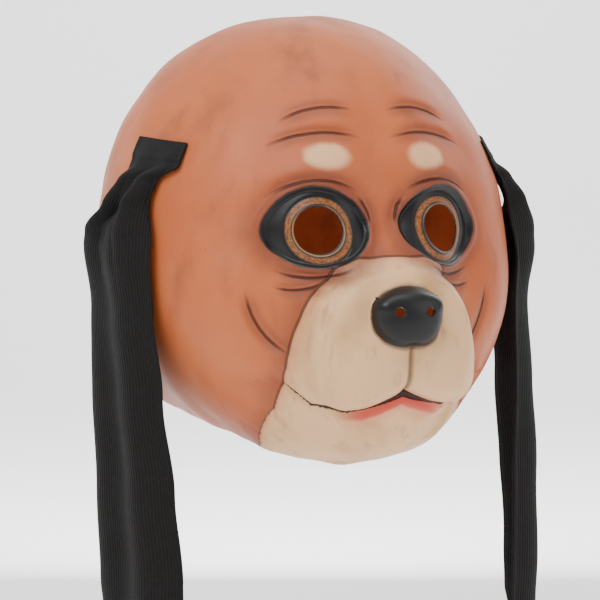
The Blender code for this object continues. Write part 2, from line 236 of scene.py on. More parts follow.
class EyeSizes(bpy.types.PropertyGroup):
    """Sizes of the eyes and the holes to see through"""

    spacing: metres("Spacing", "Between the eyes' middles", 0.087)
    drop: metres("Drop", "From the crown to the eyes", 0.1415)
    dome_width: metres("Dome Width", "Width of the dome", 0.062)
    dome_height: metres("Dome Height", "Height of the dome", 0.056)
    bulge: metres("Bulge", "How far the dome stands out", 0.010)
    half_width: metres("Half Width", "From the pupil's middle to a corner of the lids", 0.0310)
    upper_lid: metres("Upper Lid", "From the pupil's middle up to the lid", 0.0255)
    lower_lid: metres("Lower Lid", "From the pupil's middle down to the lid", 0.0225)
    droop: degrees("Droop", "How far the outer corner turns down", 7)
    pupil: metres("Pupil", "Radius of the hole", 0.015)
    pupil_turn: degrees("Pupil Turn", "How far the hole faces outwards", 10)
    iris: metres("Iris", "Radius of the brown ring", 0.0218)


class NoseSizes(bpy.types.PropertyGroup):
    """Sizes of the nostrils"""

    spacing: metres("Spacing", "Between the nostrils", 0.021)
    rise: metres("Rise", "From the nose's tip up", 0.003)
    nostril: metres("Nostril", "Radius of the hole", 0.0032)
    turn: degrees("Turn", "How far a nostril faces outwards", 24)


class EarSizes(bpy.types.PropertyGroup):
    """Sizes of the cloth ears"""

    width: metres("Width", "Width of the flat strip", 0.080)
    length: metres("Length", "From the tacked flap to the free end", EAR_HIGH.z - EAR_LOW.z)
    cloth: metres("Cloth", "Thickness of the cloth", 0.0016)
    azimuth: degrees("Azimuth", "Where the ear hangs, from the face round to the side", 75)
    gap: metres("Gap", "Clearance to the latex", 0.0006)


class PaintColours(bpy.types.PropertyGroup):
    """Colours of the airbrushed latex and the cloth"""

    coat: colour("Coat", "Ginger tan of the coat", (0.440, 0.098, 0.029))
    # This colour is both the airbrushed smudges and streaks of the coat and cream and the darker band
    # along the muzzle's edge, and the painted shade round the eyes and along the wrinkles.
    coat_dark: colour("Coat Shade", "Airbrushed shade of the coat", (0.165, 0.038, 0.018))
    # This colour is both the thin paint of the coat and the painted highlight along the wrinkles and
    # the muzzle's edge.
    coat_pale_and_highlight: colour("Coat Light", "Thin paint on the coat", (0.540, 0.145, 0.048))
    cream: colour("Cream", "Muzzle and chin", (0.740, 0.440, 0.225))
    # This colour is both the yellowish stain of the muzzle and the painted highlight on the pupils'
    # rims.
    cream_dark: colour("Cream Shade", "Yellowish stain of the muzzle", (0.520, 0.285, 0.115))
    blush: colour("Blush", "Overspray round the mouth", (0.640, 0.170, 0.100))
    black: colour("Black", "Nose and lids", (0.0070, 0.0062, 0.0065))
    iris: colour("Iris", "Ring round the pupil", (0.300, 0.105, 0.028))
    lip: colour("Lip", "Painted lip", (0.620, 0.070, 0.045))
    wash: colour("Wash", "Dark wash in the creases", (0.032, 0.012, 0.008))
    raw: colour("Raw Latex", "Unpainted inside", (0.400, 0.034, 0.010))
    cloth: colour("Cloth", "Ear cloth", (0.0045, 0.0040, 0.0038))


class MaskSettings(bpy.types.PropertyGroup):
    """All the settings of the mask"""

    shell: PointerProperty(type=ShellSizes)
    eyes: PointerProperty(type=EyeSizes)
    nose: PointerProperty(type=NoseSizes)
    ears: PointerProperty(type=EarSizes)
    paint: PointerProperty(type=PaintColours)


def settings():
    return bpy.context.scene.dog_mask


def half_widths():
    shell = settings().shell
    return {
        NOSE: shell.nose_width / 2,
        MUZZLE: shell.muzzle_width / 2,
        HEAD: shell.half_width,
    }


def forward(reach):
    """The Y of a reach share, which counts along the face or the back, and then the muzzle."""
    shell = settings().shell
    reach = np.asarray(reach, float)
    face = shell.nose_reach * FACE_SHARE
    muzzle = shell.nose_reach - face
    ahead = -(np.clip(reach, 0, 1) * face + np.maximum(reach - 1, 0) * muzzle)
    return np.where(reach < 0, -reach * shell.back, ahead)


def height(drop):
    """The Z of a drop share below the outside of the crown."""
    shell = settings().shell
    return SHELL_HIGH.z - np.asarray(drop, float) * shell.height


def bell(distance, width):
    """1 in the middle, falling smoothly to 0 a few widths away."""
    return np.exp(-((distance / width) ** 2))


def step(value, start, end):
    """0 before start and 1 after end, with a smooth rise between."""
    share = np.clip((value - start) / (end - start), 0, 1)
    return share * share * (3 - 2 * share)


def column(name):
    """One column of the section table."""
    return np.array([getattr(section, name) for section in SECTIONS])


class Loft:
    """The smooth surface through the sections, at any section number and turn from the top."""

    KNOT_TURNS = 24

    def __init__(self):
        halves = half_widths()
        self.half = column("width") * np.array([halves[s.width_of] for s in SECTIONS])
        self.power = column("round")
        self.top, self.side, self.low = (
            (forward(column(f"{part}_reach")), height(column(f"{part}_drop")))
            for part in ("top", "side", "low")
        )
        turns = np.linspace(0, math.pi, self.KNOT_TURNS)
        rows = [self.control(np.full(len(turns), k), turns) for k in range(-1, len(SECTIONS) + 1)]
        spans = np.linalg.norm(np.diff(np.array(rows), axis=0), axis=2).mean(axis=1) ** 0.5
        self.knots = np.concatenate([[0], np.cumsum(spans)])

    def control(self, k, turn):
        """The points on section k. The rows before the first and after the last are seen
        across the pole, so they run the other way round."""
        last = len(SECTIONS) - 1
        across = (k < 0) | (k > last)
        k = np.where(k < 0, 1, np.where(k > last, last - 1, k)).astype(int)
        turn = np.where(across, math.pi - turn, turn)
        power = self.power[k]
        cosine = np.cos(turn)
        rise = np.abs(cosine) ** power
        upper = cosine >= 0
        end_y = np.where(upper, self.top[0][k], self.low[0][k])
        end_z = np.where(upper, self.top[1][k], self.low[1][k])
        x = np.abs(np.sin(turn)) ** power * self.half[k] * np.where(across, -1, 1)
        y = self.side[0][k] + (end_y - self.side[0][k]) * cosine**2
        z = self.side[1][k] + (end_z - self.side[1][k]) * rise
        return np.stack([x, y, z], axis=-1)

    def points(self, place, turn):
        """Points at these section numbers and turns."""
        k = np.clip(np.floor(place), 0, len(SECTIONS) - 2).astype(int)
        t = (place - k)[:, None]
        p0, p1, p2, p3 = (self.control(k + i, turn) for i in (-1, 0, 1, 2))
        k0, k1, k2, k3 = (self.knots[k + 1 + i][:, None] for i in (-1, 0, 1, 2))
        span = k2 - k1
        slope = (p2 - p1) / span
        into = (p1 - p0) / (k1 - k0)
        out = (p3 - p2) / (k3 - k2)
        start = (slope * (k1 - k0) + into * span) / (k2 - k0)
        end = (out * span + slope * (k3 - k2)) / (k3 - k1)
        return (
            (2 * t**3 - 3 * t**2 + 1) * p1
            + (t**3 - 2 * t**2 + t) * span * start
            + (3 * t**2 - 2 * t**3) * p2
            + (t**3 - t**2) * span * end
        )

    def slopes(self, place, turn):
        """How fast the points move with the section number and with the turn."""
        small = 1e-3
        last = len(SECTIONS) - 1
        before, after = np.maximum(place - small, 0), np.minimum(place + small, last)
        along = self.points(after, turn) - self.points(before, turn)
        along /= (after - before)[:, None]
        less, more = np.maximum(turn - small, 0), np.minimum(turn + small, math.pi)
        around = self.points(place, more) - self.points(place, less)
        around /= (more - less)[:, None]
        return along, around


def eye_middle():
    """X and Z of the left pupil's middle."""
    eyes = settings().eyes
    return eyes.spacing / 2, SHELL_HIGH.z - eyes.drop


def swell_lift(points):
    """How far the rounded swells lift each point."""
    tall = settings().shell.height
    lift = np.zeros(len(points))
    for swell in SWELLS:
        if swell.about == EYE:
            x, z = eye_middle()
            x, z = x + swell.side * tall, z - swell.drop * tall
        else:
            x, z = swell.side * half_widths()[swell.about], height(swell.drop)
        off = (points - np.array([x, forward(swell.reach), z])) / tall
        up = off[:, 2] - swell.tilt * off[:, 0]
        share = (off[:, 0] / swell.spread_side) ** 2 + (up / swell.spread_up) ** 2
        share += (off[:, 1] / max(swell.spread_side, swell.spread_up)) ** 2
        lift += swell.height * tall * np.exp(-share)
    return lift


def mouth_distance(points, normals):
    """Each point's distance from the mouth's crease, negative above it: first in space, then
    along the surface. Last, how far along the crease it lies, from 0 in the middle to 1."""
    half = half_widths()[MUZZLE]
    crease = [[c.side * half, float(forward(c.reach)), float(height(c.drop))] for c in MOUTH]
    crease = np.array(crease)
    nearest = np.full(len(points), np.inf)
    signed, flat, share = np.zeros((3, len(points)))
    for i, (start, end) in enumerate(zip(crease[:-1], crease[1:])):
        run = end - start
        along = np.clip(((points - start) @ run) / (run @ run), 0, 1)
        off = points - (start + along[:, None] * run)
        far = np.linalg.norm(off, axis=1)
        sign = np.where(off[:, 2] > 0, -1, 1)
        depth = (off * normals).sum(axis=1)
        beside = off - depth[:, None] * normals
        downwards = np.cross(run, normals)
        downwards *= np.sign(-downwards[:, 2:])
        downwards /= np.linalg.norm(downwards, axis=1, keepdims=True)
        nearer = far < nearest
        nearest = np.where(nearer, far, nearest)
        signed = np.where(nearer, sign * far, signed)
        flat = np.where(nearer, (beside * downwards).sum(axis=1), flat)
        share = np.where(nearer, (i + along) / (len(crease) - 1), share)
    return signed, flat, share


LID_ROUND = 1.75


def lid_distance(points):
    """Each point's distance outside the opening between the lids, negative on the eyeball, and
    how far above the corners it lies, as a share of the lid's height."""
    eyes = settings().eyes
    x, z = eye_middle()
    side, up = points[:, 0] - x, points[:, 2] - z
    turned = side * math.cos(eyes.droop) - up * math.sin(eyes.droop)
    raised = up * math.cos(eyes.droop) + side * math.sin(eyes.droop)
    lid = np.where(raised > 0, eyes.upper_lid, eyes.lower_lid)
    share = (np.abs(turned) / eyes.half_width) ** LID_ROUND
    share += (np.abs(raised) / lid) ** LID_ROUND
    size = share ** (1 / LID_ROUND)
    far = np.hypot(turned, raised)
    distance = np.where(size > 1e-6, far * (1 - 1 / np.maximum(size, 1e-6)), -lid)
    return distance, raised / lid


class Features:
    """What the face's fine shape and paint follow, worked out for every point of the skin."""

    # How deep each line or hollow goes and how high each roll stands, in metres
    LIP_GROOVE, LIP_LINE = 0.0028, 0.0012
    PUPIL_RIM, IRIS_LINE, LID_LINE = 0.0009, 0.0004, 0.0009
    LID_ROLL, UPPER_LID_ROLL, EYE_RECESS = 0.0021, 0.0010, 0.0016
    NOSTRIL, NOSTRIL_SLIT, NOSE_LINE, NOSE_WING = 0.0030, 0.0020, 0.0012, 0.0012
    PAINT_LINE = 0.0008
    # The pale spot above each eye
    PIP_SIDE, PIP_HEIGHT = 0.034, -0.0935
    PIP_HALF_WIDTH, PIP_HALF_HEIGHT = 0.0120, 0.0078

    def __init__(self, loft, place, turn):
        eyes = settings().eyes
        base = loft.points(place, turn)
        along, around = loft.slopes(place, turn)
        normal = np.cross(around, along)
        normal[place <= 0] = (0, -1, 0)
        normal[place >= len(SECTIONS) - 1] = (0, 1, 0)
        normal /= np.maximum(np.linalg.norm(normal, axis=1, keepdims=True), 1e-12)
        pace = np.linalg.norm(along, axis=1)
        in_front = step(-base[:, 1], -float(forward(0.35)), -float(forward(0.55)))

        turns = [math.radians(edge.turn) for edge in MUZZLE_PAINT]
        edge = np.interp(turn, turns, [edge.section for edge in MUZZLE_PAINT])
        self.muzzle = (place - edge) * pace
        nose_edge = NOSE_EDGE_SECTION + 0.25 * np.cos(turn) ** 2 * (turn < math.pi / 2)
        self.nose = (place - nose_edge) * pace
        mouth, self.mouth, mouth_share = mouth_distance(base, normal)
        self.lids, lid_rise = lid_distance(base)
        self.lids = np.where(in_front > 0.5, self.lids, 0.05)

        x, z = eye_middle()
        side, up = base[:, 0] - x, base[:, 2] - z
        lift = swell_lift(base)
        dome = (side / (eyes.dome_width / 2)) ** 2 + (up / (eyes.dome_height / 2)) ** 2
        lift += in_front * eyes.bulge * np.maximum(0, 1 - dome)
        off = base + normal * lift[:, None]
        middle = np.argmin(np.hypot(off[:, 0] - x, off[:, 2] - z) + 1 - in_front)
        off -= off[middle]
        across = off[:, 0] * math.cos(eyes.pupil_turn) + off[:, 1] * math.sin(eyes.pupil_turn)
        self.pupil = np.hypot(across, off[:, 2])
        groove = np.zeros(len(base))

        def engrave(depth, amount):
            nonlocal lift, groove
            lift = lift - depth * amount
            groove = np.maximum(groove, amount)

        for part in MOUTH_PROFILE:
            if part.name in ("slit", "lower_lip"):
                fade = 1 - step(mouth_share, 0.86, 1.0)
                amount = bell(self.mouth - part.off, part.width) * fade
            else:
                amount = bell(mouth - part.off, part.width)
            lift += part.height * amount

        nose_low, lip = float(height(SECTIONS[3].low_drop)), float(height(MOUTH[0].drop))
        ahead = base[:, 1] < float(forward(1.4))
        under_nose = 1 - step(base[:, 2], nose_low - 0.002, nose_low + 0.004)
        between = step(base[:, 2], lip - 0.002, lip + 0.004) * under_nose
        engrave(self.LIP_GROOVE, between * ahead * bell(base[:, 0], 0.0050) * 0.8)
        engrave(self.LIP_LINE, between * ahead * bell(base[:, 0], 0.0012))

        lift += in_front * self.lid_relief(lid_rise)
        lift += in_front * self.PUPIL_RIM * bell(self.pupil - eyes.pupil - 0.0014, 0.0011)
        lift -= in_front * self.IRIS_LINE * bell(self.pupil - eyes.iris, 0.0007)
        engrave(self.LID_LINE, in_front * bell(self.lids, 0.0012))

        lift += self.nose_relief(base, engrave)
        engrave(self.PAINT_LINE, bell(self.muzzle, 0.0022) * (1 - step(place, 10.5, 11.5)))
        self.mouth_end = mouth_share
        for wrinkle in WRINKLES:
            side, up = base[:, 0] - wrinkle.side, base[:, 2] - wrinkle.height
            run = side * math.cos(wrinkle.turn) + up * math.sin(wrinkle.turn)
            rise = up * math.cos(wrinkle.turn) - side * math.sin(wrinkle.turn)
            share = np.abs(run) / wrinkle.half_length
            bow = rise + wrinkle.sag * share**2
            ends = (1 - step(share, 0.35, 1.0)) * in_front
            lift -= wrinkle.depth * bell(bow, 0.0030) * ends
            lift += 0.7 * wrinkle.depth * bell(bow - 0.0062, 0.0042) * ends

        side = (base[:, 0] - self.PIP_SIDE) / self.PIP_HALF_WIDTH
        up = (base[:, 2] - self.PIP_HEIGHT) / self.PIP_HALF_HEIGHT
        self.pips = np.hypot(side, up) - 1
        self.pips = np.where(in_front > 0.5, self.pips, 3.0)
        self.groove = groove
        self.lift = lift
        self.base = base
        self.normal = normal

    def lid_relief(self, lid_rise):
        """The rolled lids round a recessed eyeball."""
        upper = step(lid_rise, -0.2, 0.4)
        roll = self.LID_ROLL + self.UPPER_LID_ROLL * upper
        lid = roll * bell(self.lids - 0.0034, 0.0030)
        inside = -self.EYE_RECESS * (1 - step(self.lids, -0.0016, 0.0010))
        return lid + inside

    def nose_relief(self, base, engrave):
        """The nostrils' hollows, their slits to the side and the groove between them."""
        nose = settings().nose
        x = nose.spacing / 2
        z = float(height(SECTIONS[0].top_drop)) + nose.rise
        ahead = (base[:, 1] < float(forward(1.55))) & (self.nose < 0.004)
        side, up = base[:, 0] - x, base[:, 2] - z
        hollow = bell(np.hypot(side * 0.8, up * 1.1), 0.0050)
        run = np.clip(side, 0, 0.013)
        curve = up - 0.0015 + 0.0045 * (run / 0.010) ** 1.5
        slit = np.where(ahead, np.hypot(side - run, curve), 0.05)
        middle = bell(base[:, 0], 0.0013) * (1 - step(base[:, 2], z + 0.001, z + 0.008))
        engrave(self.NOSTRIL, ahead * hollow)
        engrave(self.NOSTRIL_SLIT, ahead * bell(slit, 0.0018))
        engrave(self.NOSE_LINE, ahead * middle)
        wing = bell(np.hypot(side - 0.008, up - 0.004), 0.0050)
        return ahead * self.NOSE_WING * wing


def clear_selection():
    if bpy.context.mode != "OBJECT":
        bpy.ops.object.mode_set(mode="OBJECT")
    bpy.ops.object.select_all(action="DESELECT")


def make_active(obj):
    clear_selection()
    obj.select_set(True)
    bpy.context.view_layer.objects.active = obj


def mesh_points(mesh):
    points = np.zeros(len(mesh.vertices) * 3)
    mesh.vertices.foreach_get("co", points)
    return points.reshape(-1, 3)


def set_points(mesh, points):
    mesh.vertices.foreach_set("co", np.ascontiguousarray(points, dtype=float).ravel())
    mesh.update()


def add_layer(mesh, name, values):
    """Keeps a number for each point, which the paint reads by name."""
    layer = mesh.attributes.new(name, "FLOAT", "POINT")
    layer.data.foreach_set("value", np.asarray(values, np.float32))


def edit_faces(obj, chosen):
    """Enters edit mode with just these faces selected."""
    make_active(obj)
    bpy.ops.object.mode_set(mode="EDIT")
    bpy.ops.mesh.select_mode(type="FACE")
    bpy.ops.mesh.select_all(action="DESELECT")
    bpy.ops.object.mode_set(mode="OBJECT")
    obj.data.polygons.foreach_set("select", np.asarray(chosen, bool))
    bpy.ops.object.mode_set(mode="EDIT")


def edit_all(obj, operator, **options):
    """Runs a mesh operator on the whole of an object."""
    make_active(obj)
    bpy.ops.object.mode_set(mode="EDIT")
    bpy.ops.mesh.select_all(action="SELECT")
    operator(**options)
    bpy.ops.object.mode_set(mode="OBJECT")


def surface_tree(obj):
    """The object's faces, for rays to meet."""
    points = [point.co for point in obj.data.vertices]
    return BVHTree.FromPolygons(points, [face.vertices for face in obj.data.polygons])


def delete_faces(obj, chosen):
    edit_faces(obj, chosen)
    bpy.ops.mesh.delete(type="FACE")
    bpy.ops.object.mode_set(mode="OBJECT")


def face_centres(mesh):
    centres = np.zeros(len(mesh.polygons) * 3)
    mesh.polygons.foreach_get("center", centres)
    return centres.reshape(-1, 3)


def border_points(mesh):
    """Which points lie on an open border."""
    count = {}
    for face in mesh.polygons:
        for key in face.edge_keys:
            count[key] = count.get(key, 0) + 1
    border = np.zeros(len(mesh.vertices), bool)
    for key, uses in count.items():
        if uses == 1:
            border[list(key)] = True
    return border


def punch_hole(obj, middle, facing, radius):
    """Opens a round hole in a skin: the faces within it go and its border is made a circle."""
    mesh = obj.data
    middle, facing = np.array(middle), np.array(facing) / np.linalg.norm(facing)
    reach = 5 * radius

    def spread(points):
        off = points - middle
        depth = off @ facing
        flat = off - depth[:, None] * facing
        far = np.linalg.norm(flat, axis=1)
        return flat, far, np.abs(depth) < reach

    _, far, near = spread(face_centres(mesh))
    delete_faces(obj, (far < radius) & near)
    points = mesh_points(mesh)
    flat, far, near = spread(points)
    rim = border_points(mesh) & near & (far < 1.6 * radius)
    points[rim] += flat[rim] * ((radius - far[rim]) / far[rim])[:, None]
    set_points(mesh, points)


def ball_places(ball, rings):
    """The section number and the turn that each point of the ball stands for."""
    ball = ball / np.linalg.norm(ball, axis=1, keepdims=True)
    ring = np.arccos(np.clip(ball[:, 2], -1, 1)) / math.pi * rings
    starts = np.concatenate([[0], np.cumsum([s.rings for s in SECTIONS[:-1]])])
    place = np.interp(ring, starts, np.arange(len(SECTIONS)))
    turn = np.arctan2(np.abs(ball[:, 0]), ball[:, 1]) / math.pi * HALF_COLUMNS
    starts = np.concatenate([[0], np.cumsum([s.columns for s in COLUMN_SPANS[:-1]])])
    return place, np.interp(turn, starts, [math.radians(s.start) for s in COLUMN_SPANS])


class MASK_OT_latex_head(bpy.types.Operator):
    """Model the cast latex head with its eyes, nose, mouth and holes"""

    bl_idname = "mask.latex_head"
    bl_label = "Latex Head"

    # Where the neck opening's plane cuts the middle line, as a reach and a drop
    RIM_FRONT, RIM_BACK = (0.65, 0.981), (-0.72, 0.813)
    # The waves of the cut: height in metres, number round the rim and phase
    RIM_WAVES = ((0.0012, 5, 1), (0.0008, 11, 0), (0.0004, 23, 2))
    # The heights between which the waves fade out
    RIM_LOW, RIM_HIGH = -0.24, -0.19

    def execute(self, context):
        skin = self.add_skin()
        self.punch_holes(skin)
        self.trim_rim(skin)
        self.thicken(skin)
        make_active(skin)
        bpy.ops.object.shade_smooth()
        skin.data.materials.append(paint_latex())
        skin.data.materials.append(raw_latex())
        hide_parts("latex_shell")
        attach(skin, "root")
        return {"FINISHED"}

    def add_skin(self):
        """A ball, shaped into the head. Its upper pole becomes the tip of the nose."""
        rings = sum(section.rings for section in SECTIONS)
        clear_selection()
        bpy.ops.mesh.primitive_uv_sphere_add(segments=2 * HALF_COLUMNS, ring_count=rings, radius=1)
        skin = context_object("latex_head")
        loft = Loft()
        self.refine_eyes(skin, loft, rings)
        ball = mesh_points(skin.data)
        place, turn = ball_places(ball, rings)
        features = Features(loft, place, turn)
        points = features.base + features.normal * features.lift[:, None]
        middle = np.abs(ball[:, 0]) < 1e-5
        points[middle, 0] = 0
        points[:, 0] *= np.where(ball[:, 0] < 0, -1, 1)
        normal = features.normal * np.where(ball[:, 0] < 0, -1, 1)[:, None] ** [1, 0, 0]
        points += normal * self.unevenness(points)[:, None]
        set_points(skin.data, points)
        for name, values in (
            ("muzzle_edge", features.muzzle),
            ("nose_edge", features.nose),
            ("mouth_edge", features.mouth),
            ("lid_edge", features.lids),
            ("pupil_range", features.pupil),
            ("pip_edge", features.pips),
            ("groove", features.groove),
            ("mouth_end", features.mouth_end),
        ):
            add_layer(skin.data, name, values)
        edit_all(skin, bpy.ops.mesh.normals_make_consistent, inside=False)
        return skin

    def refine_eyes(self, skin, loft, rings):
        """Cuts the ball's faces finer where the eyes will be."""
        centres = face_centres(skin.data)
        places = loft.points(*ball_places(centres, rings))
        x, z = eye_middle()
        near = np.hypot(places[:, 0] - x, (places[:, 2] - z) * 1.15) < 0.036
        edit_faces(skin, near & (places[:, 1] < float(forward(0.3))))
        bpy.ops.mesh.subdivide(number_cuts=2)
        bpy.ops.object.mode_set(mode="OBJECT")

    def unevenness(self, points):
        """Gentle rolls of a surface that was modelled by hand."""
        size = settings().shell.unevenness
        slow = [noise.noise(Vector(p) * 22) + 0.5 * noise.noise(Vector(p) * 47) for p in points]
        return size * np.array(slow)

    def punch_holes(self, skin):
        eyes, nose = settings().eyes, settings().nose
        x, z = eye_middle()
        tree = surface_tree(skin)
        nose_z = float(height(SECTIONS[0].top_drop)) + nose.rise
        for sign in (1, -1):
            for side, up, turn, radius in (
                (x, z, eyes.pupil_turn, eyes.pupil),
                (nose.spacing / 2, nose_z, nose.turn, nose.nostril),
            ):
                start = Vector((sign * side, 2 * SHELL_LOW.y, up))
                middle = tree.ray_cast(start, Vector((0, 1, 0)))[0]
                facing = (sign * math.sin(turn), -math.cos(turn), 0)
                punch_hole(skin, middle, facing, radius)

    def trim_rim(self, skin):
        """Cuts the neck opening along its plane, a little unevenly, as with scissors."""
        mesh = skin.data
        front, back = (
            Vector((0, float(forward(reach)), float(height(drop))))
            for reach, drop in (self.RIM_FRONT, self.RIM_BACK)
        )
        down = Vector((0, back.z - front.z, front.y - back.y)).normalized()
        points = mesh_points(mesh)
        azimuth = np.arctan2(points[:, 0], -points[:, 1])
        wave = sum(tall * np.sin(count * azimuth + phase) for tall, count, phase in self.RIM_WAVES)
        low = 1 - step(points[:, 2], self.RIM_LOW, self.RIM_HIGH)
        points[:, 2] += wave * low
        set_points(mesh, points)
        cut = {"use_fill": False, "clear_outer": True, "threshold": 0.0002}
        edit_all(skin, bpy.ops.mesh.bisect, plane_co=front, plane_no=down, **cut)

    def thicken(self, skin):
        make_active(skin)
        wall = skin.modifiers.new("wall", "SOLIDIFY")
        wall.thickness = settings().shell.wall
        wall.offset = -1
        wall.use_even_offset = False
        wall.material_offset = 1
        wall.material_offset_rim = 1
        bpy.ops.object.modifier_apply(modifier="wall")


def context_object(name):
    made = bpy.context.active_object
    made.name = name
    made.data.name = name
    return made


def smooth_rows(rows, at):
    """The rows' columns at these drops, without corners."""
    values = np.array([tuple(row) for row in rows])
    k = np.clip(np.searchsorted(values[:, 0], at, side="right") - 1, 0, len(rows) - 2)
    share = ((at - values[k, 0]) / (values[k + 1, 0] - values[k, 0]))[:, None]
    blend = share * share * (3 - 2 * share)
    result = values[k] * (1 - blend) + values[k + 1] * blend
    result[:, 0] = at
    return result


class MASK_OT_cloth_ears(bpy.types.Operator):
    """Model the two hanging cloth ears, seated on the latex head"""

    bl_idname = "mask.cloth_ears"
    bl_label = "Cloth Ears"

    COLUMNS = 56
    ROWS = 250
    PLEATS = 2
    # The flat strip's length over the hanging ear's
    FLAT_SHARE = 1.03

    def execute(self, context):
        head = bpy.data.objects["latex_head"]
        tree = surface_tree(head)
        cloth = ribbed_cloth()
        for name, node, sign in (
            ("cloth_ear_left", "ear_left", 1),
            ("cloth_ear_right", "ear_right", -1),
        ):
            ear = self.add_ear(name, tree, sign)
            ear.data.materials.append(cloth)
            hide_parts(node)
            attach(ear, "root")
        return {"FINISHED"}

    def add_ear(self, name, tree, sign):
        clear_selection()
        bpy.ops.mesh.primitive_grid_add(
            x_subdivisions=self.COLUMNS, y_subdivisions=self.ROWS, size=1, calc_uvs=True
        )
        ear = context_object(name)
        flat = mesh_points(ear.data)
        set_points(ear.data, self.hang(flat[:, 0], 0.5 - flat[:, 1], tree, sign))
        make_active(ear)
        cloth = ear.modifiers.new("cloth", "SOLIDIFY")
        cloth.thickness = settings().ears.cloth
        cloth.offset = 1 if sign > 0 else -1
        bpy.ops.object.modifier_apply(modifier="cloth")
        edit_all(ear, bpy.ops.mesh.normals_make_consistent, inside=False)
        bpy.ops.object.shade_smooth()
        return ear

    def hang(self, across, down, tree, sign):
        """Points of the cloth, whose shares across and down its flat strip are given."""
        ears = settings().ears
        rows = smooth_rows(EAR_ROWS, down)
        _, width, lean, pleat, stand = rows.T
        z = EAR_HIGH.z - down * ears.length
        turn = (across * width + lean) * ears.width / settings().shell.half_width
        azimuth = ears.azimuth + turn
        held = {}
        reach = np.zeros(len(across))
        strip = np.round(across, 6)
        for i in np.argsort(-z):
            direction = Vector((math.sin(azimuth[i]), -math.cos(azimuth[i]), 0))
            hit = tree.ray_cast(direction * 0.5 + Vector((0, 0, z[i])), -direction)[0]
            far = 0.0 if hit is None else max(0.0, hit.dot(direction))
            held[strip[i]] = max(held.get(strip[i], 0.0), far + ears.gap)
            reach[i] = held[strip[i]]
        fold = pleat * (0.5 - 0.5 * np.cos(2 * math.pi * self.PLEATS * (across + 0.5)))
        bulge = stand * (1 - 3 * across**2)
        out = reach + (fold + bulge) * ears.width + self.gathers(across, down, sign)
        z = z - 0.004 * (0.5 - across) * (1 - step(down, 0.02, 0.07))
        return np.stack([sign * out * np.sin(azimuth), -out * np.cos(azimuth), z], axis=1)

    def gathers(self, across, down, sign):
        """Small folds that spread from the pinch, slow waves below it, and the hems."""
        pinch = bell(down - 0.125, 0.050) + 0.45 * bell(down - 0.22, 0.060)
        sway = 0.35 * np.sin(9 * down + sign)
        folds = np.abs(np.sin(math.pi * (3.4 * across + sway + 0.5))) ** 0.8
        places = zip(1.6 * across, 5.5 * down)
        slow = np.array([noise.noise(Vector((a, d, 7 * sign))) for a, d in places])
        hems = 1 - step(down, 0.034, 0.040) + step(down, 0.978, 0.982)
        hems = hems + 0.6 * step(np.abs(across), 0.455, 0.470)
        lower = step(down, 0.16, 0.30)
        return 0.0042 * folds * pinch + 0.0020 * (slow + 0.45) * lower + 0.0009 * hems


